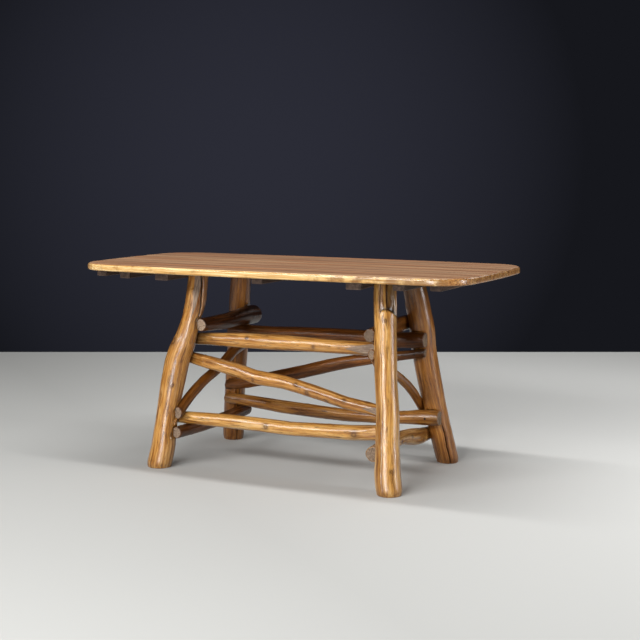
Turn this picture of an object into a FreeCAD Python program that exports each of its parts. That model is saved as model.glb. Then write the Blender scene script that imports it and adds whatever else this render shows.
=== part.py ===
import FreeCAD, Part
import math
import os

os.makedirs("parts", exist_ok=True)

# Rustic hickory table: a planked top on cleats, four peeled trunks as legs and twelve peeled
# poles lapped and spiked to the inner faces of the legs. Millimetres, +Z up, +X along the top.
# The origin is on the floor under the middle of the top, and the front faces -Y.

Vector = FreeCAD.Vector
UP = Vector(0, 0, 1)
RIGHT = Vector(1, 0, 0)
BACK = Vector(0, 1, 0)

# Overall size
table_length = 1517.0
table_width = 712.0
table_height = 737.0

# Top boards
top_thickness = 24.0
board_count = 8
corner_radius = 134.0
end_bow = 19.0
side_bow = 18.5
top_edge_round = 9.0
bottom_edge_round = 6.0
board_gap = 0.4
board_edge_ease = 1.2
tongue_length = 7.0
tongue_thickness = 8.0
tongue_clearance = 0.3

# Cleats and bearers under the top
cleat_width = 42.0
cleat_thickness = 28.0
cleat_bottom_ease = 3.0
bearer_width = 54.0
bearer_housing = 5.0
bearer_front_reach = 160.0
bearer_back_reach = 130.0

# Legs
leg_diameter = 90.0
foot_ease = 6.0
hewn_turn = 43.0
hewn_depth = 10.0
hewn_shoulder = 5.0
hewn_length = 88.0
pale_patch_turn = 4.0
pale_patch_depth = 6.0
pale_patch_length = 62.0

# Diameters of the long poles
front_upper_diameter = 52.0
front_diagonal_diameter = 48.0
front_lower_diameter = 50.0
back_upper_diameter = 57.0
back_diagonal_diameter = 46.0
back_lower_diameter = 48.0

# Diameters of the end poles
left_upper_diameter = 58.0
left_brace_diameter = 37.0
left_lower_diameter = 44.0
right_upper_diameter = 52.0
right_brace_diameter = 31.0
right_lower_diameter = 58.0

# Heights of the end poles on the legs, which set the stacks of poles at the four corners
left_upper_height = 516.0
left_lower_height = 127.0
right_upper_height = 521.0
right_lower_front_height = 126.0
right_lower_back_height = 104.0
left_brace_foot_height = 197.0
right_brace_head_height = 444.0
right_brace_foot_height = 181.0

# Free height between neighbouring poles of a stack
touch_gap = 1.5
front_left_upper_gap = 11.0
front_left_diagonal_gap = 23.0
front_right_upper_gap = 10.0
front_right_lower_gap = 9.0
front_right_diagonal_gap = 16.0
back_left_lower_gap = 8.0
back_left_diagonal_gap = 16.0
back_right_lower_gap = 20.0
back_right_diagonal_gap = 7.0

# Laps where a pole crosses a leg, and how far the pole's ends reach past the leg's centre
housing_depth = 6.0
housing_clearance = 1.5
lap_flat_share = 0.36
scarf_margin = 6.0
scarf_run = 62.0
end_girth_share = 0.96
front_rail_left_reach = 24.0
front_rail_right_reach = 9.0
back_rail_left_reach = 10.0
back_rail_right_reach = 34.0
back_diagonal_right_reach = 25.0
left_cross_front_reach = 6.0
right_cross_front_reach = 22.0
stub_front_reach = 1.0
cross_back_reach = 14.0

# Square cut spikes that hold the laps
spike_shank = 5.5
spike_tip = 2.5
spike_head = 10.0
spike_crown = 6.5
spike_head_thickness = 2.5
spike_bite_share = 0.7
spike_setback = 14.0
spike_clearance = 0.2

# Hexagon lag bolts that hold the legs to the bearers
bolt_shank = 8.0
bolt_head = 13.0
bolt_head_thickness = 5.5
bolt_bite = 24.0
bolt_clearance = 0.25
bolt_head_sides = 6
bolt_shank_sides = 8

# Square nails that hold the boards to the cleats
nail_shank = 4.0
nail_tip = 2.0
nail_head = 9.0
nail_crown = 6.0
nail_head_thickness = 1.6
nail_bite_share = 0.66
nail_clearance = 0.2

# One overrun for every cut that has to pass right through
overrun = 20.0

# Four corners this close to one plane are spanned by one flat face
flatness = 0.0000001

leg_height = table_height - top_thickness

# Where the feet stand, as shares of the top's half length and half width, and how far the
# middle of the frame of legs stands off the middle of the top, in the same shares
foot_x_share = 0.6012
foot_y_share = 0.7584
base_x_share = 0.0185
base_y_share = 0.0211
foot_half_span_x = table_length / 2 * foot_x_share
foot_half_span_y = table_width / 2 * foot_y_share
base_offset_x = table_length / 2 * base_x_share
base_offset_y = table_width / 2 * base_y_share

# Drawknife flats around a leg and around a pole, and how far a section is out of round
leg_flats = 22
pole_flats = 18
lobe_share = 0.02

# Flats in a quarter of the top's outline and in its rounded rims
side_flats = 5
corner_flats = 11
end_flats = 3
top_round_flats = 3
bottom_round_flats = 2

# Each leg's centre line and girth, from floor to top: share of the leg's height, share of the
# half span along X, share of the half span along Y, share of the leg's diameter
front_left_shares = [
    (0.00, 0.998, 1.006, 1.06),
    (0.10, 0.978, 0.956, 1.02),
    (0.27, 0.966, 0.876, 0.89),
    (0.42, 0.939, 0.804, 1.00),
    (0.54, 0.914, 0.747, 1.01),
    (0.61, 0.879, 0.713, 1.04),
    (0.67, 0.850, 0.684, 0.88),
    (0.75, 0.818, 0.643, 0.80),
    (0.83, 0.792, 0.603, 0.87),
    (1.00, 0.783, 0.524, 0.81),
]
front_right_shares = [
    (0.00, 1.009, 0.994, 1.02),
    (0.09, 0.986, 0.951, 1.03),
    (0.23, 0.964, 0.883, 0.93),
    (0.37, 0.949, 0.815, 0.87),
    (0.51, 0.916, 0.751, 0.84),
    (0.64, 0.895, 0.694, 0.86),
    (0.78, 0.872, 0.620, 0.85),
    (0.88, 0.857, 0.571, 0.90),
    (1.00, 0.840, 0.513, 0.87),
]
back_left_shares = [
    (0.00, 1.013, 0.987, 0.94),
    (0.12, 0.992, 0.940, 0.93),
    (0.34, 0.945, 0.861, 0.90),
    (0.52, 0.895, 0.794, 0.89),
    (0.66, 0.862, 0.742, 0.90),
    (0.80, 0.836, 0.691, 0.88),
    (1.00, 0.787, 0.617, 0.84),
]
back_right_shares = [
    (0.00, 1.000, 1.013, 0.95),
    (0.14, 0.958, 0.961, 0.97),
    (0.30, 0.906, 0.902, 0.99),
    (0.48, 0.862, 0.831, 1.01),
    (0.60, 0.836, 0.790, 1.00),
    (0.71, 0.827, 0.752, 1.03),
    (0.85, 0.796, 0.698, 0.99),
    (1.00, 0.759, 0.643, 0.92),
]

# Each pole's stations, from its first leg to its second: share of the run between the legs,
# rise and inward sway as shares of that run, girth as a share of the pole's diameter
front_upper_shares = [
    (0.00, 0.000, 0.000, 0.85),
    (0.09, 0.002, 0.001, 0.88),
    (0.28, 0.004, 0.006, 1.03),
    (0.43, 0.004, 0.010, 1.08),
    (0.58, 0.005, 0.007, 0.99),
    (0.74, 0.003, 0.004, 0.95),
    (0.91, 0.003, 0.001, 0.93),
    (1.00, 0.000, 0.000, 0.83),
]
front_diagonal_shares = [
    (0.00, 0.000, 0.000, 0.84),
    (0.09, -0.001, 0.001, 0.97),
    (0.26, 0.000, 0.004, 1.04),
    (0.35, -0.009, 0.007, 1.08),
    (0.49, 0.004, 0.009, 1.01),
    (0.64, 0.001, 0.006, 0.99),
    (0.79, -0.007, 0.003, 0.94),
    (0.91, -0.002, 0.001, 0.90),
    (1.00, 0.000, 0.000, 0.88),
]
front_lower_shares = [
    (0.00, 0.000, 0.000, 0.86),
    (0.09, -0.001, 0.001, 0.92),
    (0.25, -0.003, 0.005, 0.99),
    (0.40, -0.008, 0.009, 1.00),
    (0.55, -0.014, 0.008, 1.00),
    (0.70, -0.011, 0.005, 1.04),
    (0.82, -0.009, 0.002, 1.10),
    (0.92, -0.002, 0.001, 1.09),
    (1.00, 0.000, 0.000, 1.08),
]
back_upper_shares = [
    (0.00, 0.000, 0.000, 0.84),
    (0.11, -0.004, 0.001, 1.00),
    (0.24, -0.006, 0.005, 1.00),
    (0.38, -0.001, 0.008, 1.01),
    (0.57, 0.001, 0.007, 1.02),
    (0.75, -0.001, 0.004, 1.03),
    (0.90, -0.004, 0.001, 1.04),
    (1.00, 0.000, 0.000, 0.98),
]
back_diagonal_shares = [
    (0.00, 0.000, 0.000, 0.84),
    (0.10, -0.004, 0.001, 0.97),
    (0.23, -0.001, 0.004, 1.03),
    (0.41, 0.004, 0.008, 1.09),
    (0.55, 0.013, 0.009, 1.10),
    (0.68, 0.015, 0.007, 1.01),
    (0.80, 0.011, 0.003, 0.90),
    (0.92, 0.003, 0.001, 0.74),
    (1.00, 0.000, 0.000, 0.69),
]
back_lower_shares = [
    (0.00, 0.000, 0.000, 0.82),
    (0.09, -0.003, 0.001, 0.91),
    (0.28, -0.015, 0.004, 1.03),
    (0.44, -0.020, 0.008, 1.03),
    (0.59, -0.024, 0.009, 0.99),
    (0.76, -0.019, 0.005, 0.98),
    (0.88, -0.009, 0.001, 1.02),
    (0.95, -0.002, 0.000, 1.16),
    (1.00, 0.000, 0.000, 1.16),
]
left_upper_shares = [
    (0.00, 0.000, 0.000, 0.83),
    (0.20, -0.006, 0.004, 0.90),
    (0.45, -0.010, 0.012, 1.00),
    (0.70, -0.002, 0.008, 1.08),
    (0.86, 0.003, 0.002, 1.20),
    (1.00, 0.000, 0.000, 1.28),
]
left_brace_shares = [
    (0.00, 0.000, 0.000, 1.02),
    (0.06, 0.016, 0.000, 1.01),
    (0.12, 0.033, 0.001, 1.00),
    (0.22, 0.050, 0.004, 0.99),
    (0.34, 0.059, 0.010, 0.99),
    (0.42, 0.053, 0.011, 0.98),
    (0.50, 0.043, 0.012, 0.98),
    (0.60, 0.040, 0.010, 1.00),
    (0.70, 0.044, 0.006, 1.04),
    (0.79, 0.045, 0.002, 1.04),
    (0.90, 0.022, 0.000, 1.02),
    (1.00, 0.000, 0.000, 1.00),
]
left_lower_shares = [
    (0.00, 0.000, 0.000, 1.00),
    (0.30, -0.008, 0.006, 1.01),
    (0.65, -0.010, 0.009, 1.05),
    (1.00, 0.000, 0.000, 1.08),
]
right_upper_shares = [
    (0.00, 0.000, 0.000, 0.95),
    (0.30, 0.004, 0.006, 1.00),
    (0.60, 0.006, 0.010, 1.06),
    (0.85, 0.002, 0.003, 1.05),
    (1.00, 0.000, 0.000, 1.04),
]
right_brace_shares = [
    (0.00, 0.000, 0.000, 0.95),
    (0.10, -0.030, 0.000, 0.95),
    (0.20, -0.012, 0.002, 0.96),
    (0.36, 0.057, 0.010, 1.00),
    (0.52, 0.080, 0.016, 1.05),
    (0.66, 0.088, 0.014, 1.06),
    (0.78, 0.073, 0.008, 1.03),
    (0.88, 0.045, 0.002, 1.00),
    (1.00, 0.000, 0.000, 0.92),
]
right_lower_shares = [
    (0.00, 0.000, 0.000, 0.92),
    (0.14, 0.014, 0.002, 0.94),
    (0.34, 0.030, 0.010, 0.88),
    (0.52, 0.034, 0.014, 0.86),
    (0.72, 0.012, 0.006, 1.08),
    (0.86, 0.000, 0.000, 1.02),
    (1.00, 0.000, 0.000, 0.84),
]

# Cleats across the boards: centre as a share of the half length, half length of the cleat as
# a share of the half width of the top
cleat_shares = [
    (-0.920, 0.68),
    (-0.743, 0.80),
    (-0.036, 0.74),
    (0.663, 0.73),
    (0.815, 0.62),
]


# Helpers for solids

def prism(points, direction):
    """Solid made by moving a flat polygon along a direction."""
    return polygon_face(points).extrude(direction)


def flat_faces(first, second, third, fourth):
    """One face through four corners in turn, or two where the four do not lie in one plane."""
    normal = (second - first).cross(third - first).normalize()
    if abs(normal.dot(fourth - first)) < flatness:
        return [polygon_face([first, second, third, fourth])]
    return [polygon_face([first, second, third]), polygon_face([first, third, fourth])]


def polygon_face(points):
    """Flat face inside a closed line through points."""
    return Part.Face(Part.makePolygon(points + points[:1]))


def through(rings):
    """Closed solid in flat faces through rings that have equal numbers of corners."""
    faces = [polygon_face(rings[0]), polygon_face(rings[-1])]
    for low, high in zip(rings, rings[1:]):
        for corner in range(len(low)):
            following = (corner + 1) % len(low)
            faces += flat_faces(low[corner], low[following], high[following], high[corner])
    shell = Part.makeShell(faces)
    shell.sewShape()
    return Part.makeSolid(shell)


def ring(centre, across, upright, half_across, half_upright, flats, number):
    """Closed section about a centre, shaved in flats, a little out of round and never quite alike."""
    points = []
    for corner in range(flats):
        turn = 2 * math.pi * corner / flats
        swell = 1 + lobe_share * math.cos(2 * turn + number)
        spoke = across * (half_across * math.cos(turn)) + upright * (half_upright * math.sin(turn))
        points.append(centre + spoke * swell)
    return points


def square(middle, side, other, width):
    """Corners of a square of a width about a middle, in the plane of two directions."""
    half = width / 2
    return [
        middle + side * half + other * half,
        middle - side * half + other * half,
        middle - side * half - other * half,
        middle + side * half - other * half,
    ]


def square_nail(seat, driven, side, length, shank, tip, head, crown, thickness, clearance):
    """A square nail driven from the seat under its head, and the hole that it stands in."""
    other = driven.cross(side)
    body = through([square(seat, side, other, shank),
                    square(seat + driven * length, side, other, tip)])
    cap = through([square(seat - driven * thickness, side, other, crown),
                   square(seat, side, other, head)])
    hole = prism(square(seat, side, other, shank + clearance * 2), driven * (length + clearance))
    pocket = prism(square(seat, side, other, head + clearance * 2),
                   driven * -(thickness + overrun))
    return body.fuse(cap), hole.fuse(pocket)


def rod(start, along, side, radius, sides, length):
    """Straight bar with a many-sided section."""
    other = along.cross(side)
    points = []
    for corner in range(sides):
        turn = 2 * math.pi * corner / sides
        points.append(start + side * (radius * math.cos(turn)) + other * (radius * math.sin(turn)))
    return prism(points, along * length)


def towards(turn):
    """Level direction turned in degrees from the front to the right."""
    angle = math.radians(turn)
    return RIGHT * math.sin(angle) - BACK * math.cos(angle)


def between(low, high, share):
    """Value a share of the way from low to high."""
    return low + (high - low) * share


def export(name, shape):
    """Write one node and say what it holds."""
    shape.exportStep("parts/" + name + ".step")
    print(name, len(shape.Solids), "solid(s)", round(shape.Volume / 1000), "cm3", shape.isValid())


# Legs

class Leg:
    """A peeled trunk, a loft through level sections from the floor to the underside of the top."""

    def __init__(self, side_x, side_y, shares):
        self.cutters = []
        self.stations = []
        for height, out_x, out_y, girth in shares:
            x = base_offset_x + side_x * foot_half_span_x * out_x
            y = base_offset_y + side_y * foot_half_span_y * out_y
            centre = Vector(x, y, height * leg_height)
            self.stations.append((centre, girth * leg_diameter / 2))
        foot, foot_radius = self.stations[0]
        eased = [(foot, foot_radius - foot_ease), (foot + UP * foot_ease, foot_radius)]
        rings = []
        for number, (centre, radius) in enumerate(eased + self.stations[1:]):
            rings.append(ring(centre, RIGHT, BACK, radius, radius, leg_flats, number))
        self.trunk = through(rings)

    def at(self, height):
        """Centre and radius of the trunk at a height, between its stations."""
        for low, high in zip(self.stations, self.stations[1:]):
            if height <= high[0].z or high is self.stations[-1]:
                share = (height - low[0].z) / (high[0].z - low[0].z)
                return low[0] + (high[0] - low[0]) * share, between(low[1], high[1], share)

    def hew(self, facing, length, depth):
        """Hew the side that faces a direction flat, from the top down to a sloping shoulder."""
        top_centre, top_radius = self.at(leg_height)
        low_centre, low_radius = self.at(leg_height - length)
        side = UP.cross(facing)
        flat = low_centre + facing * (low_radius - depth) - side * leg_diameter
        lean = (top_centre - low_centre).dot(facing) + top_radius - low_radius
        outline = [
            flat + facing * (depth + overrun) - UP * hewn_shoulder,
            flat + facing * depth - UP * hewn_shoulder,
            flat,
            flat + facing * lean + UP * length,
            flat + facing * lean + UP * (length + overrun),
            flat + facing * (depth + overrun) + UP * (length + overrun),
        ]
        self.cutters.append(prism(outline, side * (leg_diameter * 2)))


# Poles

class Pole:
    """A peeled pole lapped to two legs, a loft through upright sections along its run."""

    def __init__(self, diameter, ends, heights, reaches, inward, shares):
        self.inward = inward
        self.legs = [legs[name] for name in ends]
        self.run_axis = RIGHT if inward.x == 0 else BACK
        self.cutters = []
        self.spikes = []
        self.radii = [shares[0][3] * diameter / 2, shares[-1][3] * diameter / 2]
        self.flats = []
        self.seats = []
        for leg, height, radius in zip(self.legs, heights, self.radii):
            centre, leg_radius = leg.at(height)
            flat = centre + inward * (leg_radius - housing_depth)
            self.flats.append(flat)
            self.seats.append(flat + inward * (radius * (1 - lap_flat_share)))
        run = self.seats[1] - self.seats[0]
        length = run.dot(self.run_axis)
        stations = []
        for share, rise, sway, girth in shares:
            place = self.seats[0] + run * share + UP * (rise * length) + inward * (sway * length)
            stations.append((place, girth * diameter / 2))
        self.slopes = [rise_per_run(stations[0], stations[1], self.run_axis),
                       rise_per_run(stations[-2], stations[-1], self.run_axis)]
        way_out = self.run_axis * -1 - UP * self.slopes[0]
        start = (self.seats[0] + way_out * reaches[0], self.radii[0] * end_girth_share)
        way_out = self.run_axis + UP * self.slopes[1]
        finish = (self.seats[1] + way_out * reaches[1], self.radii[1] * end_girth_share)
        stations = [start] + stations + [finish]
        rings = []
        for number, (centre, radius) in enumerate(stations):
            before = stations[max(number - 1, 0)]
            after = stations[min(number + 1, len(stations) - 1)]
            upright = radius * math.hypot(1, rise_per_run(before, after, self.run_axis))
            rings.append(ring(centre, inward, UP, radius, upright, pole_flats, number))
        self.pole = through(rings)
        for end in (0, 1):
            self.lap(end)
            self.house(end)
            self.spike(end)

    def lap(self, end):
        """Hew the pole flat where it lies on the leg, with a scarf that runs out along it."""
        outward = self.inward * -1
        to_middle = self.run_axis * (1 if end == 0 else -1)
        flat = self.flats[end]
        flat_depth = self.radii[end] * lap_flat_share
        reach = self.legs[end].at(flat.z)[1] + scarf_margin
        steps = (flat_depth + overrun) / flat_depth
        half_tall = (reach + scarf_run) * 2
        base = flat - UP * half_tall
        scarf = [
            base - to_middle * (reach + overrun),
            base + to_middle * reach,
            base + to_middle * (reach + scarf_run * steps) + outward * (flat_depth * steps),
            base - to_middle * (reach + overrun) + outward * (flat_depth * steps),
        ]
        self.cutters.append(prism(scarf, UP * (half_tall * 2)))

    def house(self, end):
        """House the leg for the pole, along the pole's own slope."""
        flat = self.flats[end]
        tail = self.legs[end].at(flat.z)[1] + overrun
        along = (self.run_axis + UP * self.slopes[end]) * tail
        half_upright = UP * (self.radii[end] * math.hypot(1, self.slopes[end]) + housing_clearance)
        housing = [
            flat - along - half_upright,
            flat + along - half_upright,
            flat + along + half_upright,
            flat - along + half_upright,
        ]
        self.legs[end].cutters.append(prism(housing, self.inward * (housing_depth + overrun)))

    def spike(self, end):
        """Drive a spike through the pole into the leg, its head let in flush."""
        leg_radius = self.legs[end].at(self.flats[end].z)[1]
        to_middle = (self.run_axis + UP * self.slopes[end]) * (1 if end == 0 else -1)
        middle = self.seats[end] + to_middle * spike_setback
        seat = middle + self.inward * (self.radii[end] - spike_head_thickness)
        grip = (seat - self.flats[end]).dot(self.inward)
        length = grip + leg_radius * spike_bite_share - housing_depth
        spike, hole = square_nail(
            seat, self.inward * -1, self.run_axis, length, spike_shank, spike_tip,
            spike_head, spike_crown, spike_head_thickness, spike_clearance)
        self.spikes.append(spike)
        self.cutters.append(hole)
        self.legs[end].cutters.append(hole)


def rise_per_run(before, after, run_axis):
    """Slope between two stations along a run."""
    step = after[0] - before[0]
    return step.z / step.dot(run_axis)


def end_radii(diameter, shares):
    """Radii of a pole at its first and second leg."""
    return shares[0][3] * diameter / 2, shares[-1][3] * diameter / 2


# Top, cleats and bearers

def bow_radius(half_span, bow):
    """Radius of an arc that falls back by a bow over half a span."""
    return (half_span ** 2 + bow ** 2) / (2 * bow)


def corner_centre(side_radius, end_radius):
    """Centre of the corner arc that runs smoothly into the side bow and the end bow."""
    side_centre = Vector(0, table_width / 2 - side_radius, 0)
    end_centre = Vector(table_length / 2 - end_radius, 0, 0)
    apart = end_centre - side_centre
    to_side = side_radius - corner_radius
    to_end = end_radius - corner_radius
    along = (to_side ** 2 - to_end ** 2 + apart.Length ** 2) / (2 * apart.Length)
    aside = math.sqrt(to_side ** 2 - along ** 2)
    apart.normalize()
    return side_centre, end_centre, side_centre + apart * along + apart.cross(UP) * aside


def rim(inset, height):
    """Outline of the top moved in by an inset: four bowed edges and four round corners."""
    side_radius = bow_radius(table_length / 2, side_bow)
    end_radius = bow_radius(table_width / 2, end_bow)
    side_centre, end_centre, corner = corner_centre(side_radius, end_radius)
    side_turn = math.atan2((corner - side_centre).y, (corner - side_centre).x)
    end_turn = math.atan2((corner - end_centre).y, (corner - end_centre).x)
    arcs = [
        (side_centre, side_radius, math.pi / 2, side_turn, side_flats),
        (corner, corner_radius, side_turn, end_turn, corner_flats),
        (end_centre, end_radius, end_turn, 0, end_flats),
    ]
    quarter = [Vector(0, table_width / 2 - inset, height)]
    for centre, radius, first, last, flats in arcs:
        for number in range(flats):
            turn = between(first, last, (number + 1) / flats)
            spoke = Vector(math.cos(turn), math.sin(turn), 0) * (radius - inset)
            quarter.append(centre + spoke + UP * height)
    half = quarter + [Vector(point.x, -point.y, height) for point in quarter[-2::-1]]
    return half + [Vector(-point.x, point.y, height) for point in half[-2:0:-1]]


def slab():
    """The whole top before it is parted into boards, its rims rounded above and below."""
    rings = []
    for number in range(bottom_round_flats + 1):
        turn = math.pi / 2 * number / bottom_round_flats
        inset = bottom_edge_round * (1 - math.sin(turn))
        rings.append(rim(inset, leg_height + bottom_edge_round * (1 - math.cos(turn))))
    for number in range(top_round_flats + 1):
        turn = math.pi / 2 * number / top_round_flats
        inset = top_edge_round * (1 - math.cos(turn))
        rings.append(rim(inset, table_height - top_edge_round * (1 - math.sin(turn))))
    return through(rings)


def board_profile(number):
    """Section of a board across its length: groove on its front edge, tongue on its back edge."""
    half_width = table_width / 2
    front = between(-half_width, half_width, number / board_count) + board_gap / 2
    back = between(-half_width, half_width, (number + 1) / board_count) - board_gap / 2
    low = leg_height
    high = leg_height + top_thickness
    ease = board_edge_ease
    middle = leg_height + top_thickness / 2
    half_tongue = tongue_thickness / 2
    half_groove = half_tongue + tongue_clearance
    groove_depth = tongue_length + tongue_clearance
    if number == board_count - 1:
        back_side = [(half_width + overrun, low - overrun), (half_width + overrun, high + overrun)]
    else:
        back_side = [(back, low - overrun), (back, middle - half_tongue),
                     (back + tongue_length, middle - half_tongue),
                     (back + tongue_length, middle + half_tongue),
                     (back, middle + half_tongue), (back, high - ease), (back - ease, high),
                     (back - ease, high + overrun)]
    if number == 0:
        front_side = [(-half_width - overrun, high + overrun), (-half_width - overrun, low - overrun)]
    else:
        front_side = [(front + ease, high + overrun), (front + ease, high), (front, high - ease),
                      (front, middle + half_groove), (front + groove_depth, middle + half_groove),
                      (front + groove_depth, middle - half_groove), (front, middle - half_groove),
                      (front, low - overrun)]
    x = -table_length / 2 - overrun
    return [Vector(x, y, z) for y, z in back_side + front_side]


def plank(start, along, side, length):
    """A cleat or bearer under the boards, with its two lower long edges eased."""
    low = start - UP * cleat_thickness
    ease = cleat_bottom_ease
    across = side / side.Length
    outline = [
        start,
        start + side,
        low + side + UP * ease,
        low + side - across * ease,
        low + across * ease,
        low + UP * ease,
    ]
    return prism(outline, along * length)


class Bearer:
    """A plank let into the flanks of a front and a back leg, on their left."""

    def __init__(self, front_leg, back_leg):
        self.legs = [legs[front_leg], legs[back_leg]]
        self.flanks = []
        for leg in self.legs:
            centre, radius = leg.at(leg_height)
            self.flanks.append(centre + leftward * (radius - bearer_housing))
        self.along = (self.flanks[1] - self.flanks[0]).normalize()
        self.side = UP.cross(self.along)
        self.start = self.flanks[0] - self.along * bearer_front_reach
        self.length = (self.flanks[1] - self.start).dot(self.along) + bearer_back_reach
        self.solid = plank(self.start, self.along, self.side * bearer_width, self.length)
        self.bolts = []
        self.cutters = []
        for leg, flank in zip(self.legs, self.flanks):
            tail = self.along * (leg_diameter / 2 + overrun)
            low = flank - UP * cleat_thickness
            mouth = [low - tail, low + tail, low + tail + self.side * leg_diameter,
                     low - tail + self.side * leg_diameter]
            leg.cutters.append(prism(mouth, UP * (cleat_thickness + overrun)))
            self.bolt(leg, flank)

    def bolt(self, leg, flank):
        """Screw a lag bolt through the bearer into the leg, at half the bearer's depth."""
        driven = self.side * -1
        seat = flank + self.side * bearer_width - UP * (cleat_thickness / 2)
        length = bearer_width + bolt_bite
        shank = rod(seat, driven, UP, bolt_shank / 2, bolt_shank_sides, length)
        head = rod(seat + self.side * bolt_head_thickness, driven, UP, bolt_head / 2,
                   bolt_head_sides, bolt_head_thickness)
        self.bolts.append(shank.fuse(head))
        hole_radius = bolt_shank / 2 + bolt_clearance
        hole = rod(seat + self.side * overrun, driven, UP, hole_radius, bolt_shank_sides,
                   length + overrun + bolt_clearance)
        self.cutters.append(hole)
        leg.cutters.append(hole)


def board_centres(low, high, keep_off):
    """Board centres between two places across the top that stay clear of others."""
    centres = []
    for number in range(board_count):
        y = between(-table_width / 2, table_width / 2, (number + 0.5) / board_count)
        clear = all(abs(y - other) > nail_head + bolt_head for other in keep_off)
        if low + cleat_width / 2 < y < high - cleat_width / 2 and clear:
            centres.append(y)
    return centres


def cleat_nail(x, y):
    """A nail up through a cleat into a board."""
    seat = Vector(x, y, leg_height - cleat_thickness)
    length = cleat_thickness + top_thickness * nail_bite_share
    return square_nail(seat, UP, RIGHT, length, nail_shank, nail_tip, nail_head, nail_crown,
                       nail_head_thickness, nail_clearance)


# Assembly

forward = BACK * -1
leftward = RIGHT * -1

legs = {
    "front_left_leg": Leg(-1, -1, front_left_shares),
    "front_right_leg": Leg(1, -1, front_right_shares),
    "back_left_leg": Leg(-1, 1, back_left_shares),
    "back_right_leg": Leg(1, 1, back_right_shares),
}
legs["front_right_leg"].hew(towards(hewn_turn), hewn_length, hewn_depth)
legs["front_left_leg"].hew(towards(pale_patch_turn), pale_patch_length, pale_patch_depth)

# Stacks of poles at the corners, each height worked out from the pole above or below it

front_upper_radii = end_radii(front_upper_diameter, front_upper_shares)
front_diagonal_radii = end_radii(front_diagonal_diameter, front_diagonal_shares)
front_lower_radii = end_radii(front_lower_diameter, front_lower_shares)
back_upper_radii = end_radii(back_upper_diameter, back_upper_shares)
back_diagonal_radii = end_radii(back_diagonal_diameter, back_diagonal_shares)
back_lower_radii = end_radii(back_lower_diameter, back_lower_shares)
left_upper_radii = end_radii(left_upper_diameter, left_upper_shares)
left_brace_radii = end_radii(left_brace_diameter, left_brace_shares)
left_lower_radii = end_radii(left_lower_diameter, left_lower_shares)
right_upper_radii = end_radii(right_upper_diameter, right_upper_shares)
right_lower_radii = end_radii(right_lower_diameter, right_lower_shares)


def above(height, radius, gap, next_radius):
    """Height of the next pole up, with a gap between the two."""
    return height + radius + gap + next_radius


def below(height, radius, gap, next_radius):
    """Height of the next pole down, with a gap between the two."""
    return height - radius - gap - next_radius


front_lower_heights = [
    above(left_lower_height, left_lower_radii[0], touch_gap, front_lower_radii[0]),
    above(right_lower_front_height, right_lower_radii[0], front_right_lower_gap,
          front_lower_radii[1]),
]
front_upper_heights = [
    below(left_upper_height, left_upper_radii[0], front_left_upper_gap, front_upper_radii[0]),
    below(right_upper_height, right_upper_radii[0], front_right_upper_gap, front_upper_radii[1]),
]
front_diagonal_heights = [
    below(front_upper_heights[0], front_upper_radii[0], front_left_diagonal_gap,
          front_diagonal_radii[0]),
    above(front_lower_heights[1], front_lower_radii[1], front_right_diagonal_gap,
          front_diagonal_radii[1]),
]
back_lower_heights = [
    above(left_lower_height, left_lower_radii[1], back_left_lower_gap, back_lower_radii[0]),
    above(right_lower_back_height, right_lower_radii[1], back_right_lower_gap,
          back_lower_radii[1]),
]
back_upper_heights = [
    below(left_upper_height, left_upper_radii[1], touch_gap, back_upper_radii[0]),
    below(right_upper_height, right_upper_radii[1], touch_gap, back_upper_radii[1]),
]
back_diagonal_heights = [
    above(back_lower_heights[0], back_lower_radii[0], back_left_diagonal_gap,
          back_diagonal_radii[0]),
    below(back_upper_heights[1], back_upper_radii[1], back_right_diagonal_gap,
          back_diagonal_radii[1]),
]
left_brace_heights = [
    left_brace_foot_height,
    below(back_upper_heights[0], back_upper_radii[0], touch_gap, left_brace_radii[1]),
]
right_brace_heights = [right_brace_head_height, right_brace_foot_height]

front_ends = ["front_left_leg", "front_right_leg"]
back_ends = ["back_left_leg", "back_right_leg"]
left_ends = ["front_left_leg", "back_left_leg"]
right_ends = ["front_right_leg", "back_right_leg"]
front_reaches = [front_rail_left_reach, front_rail_right_reach]
back_reaches = [back_rail_left_reach, back_rail_right_reach]
diagonal_reaches = [back_rail_left_reach, back_diagonal_right_reach]
left_reaches = [left_cross_front_reach, cross_back_reach]
right_reaches = [right_cross_front_reach, cross_back_reach]
stub_reaches = [stub_front_reach, cross_back_reach]

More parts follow.
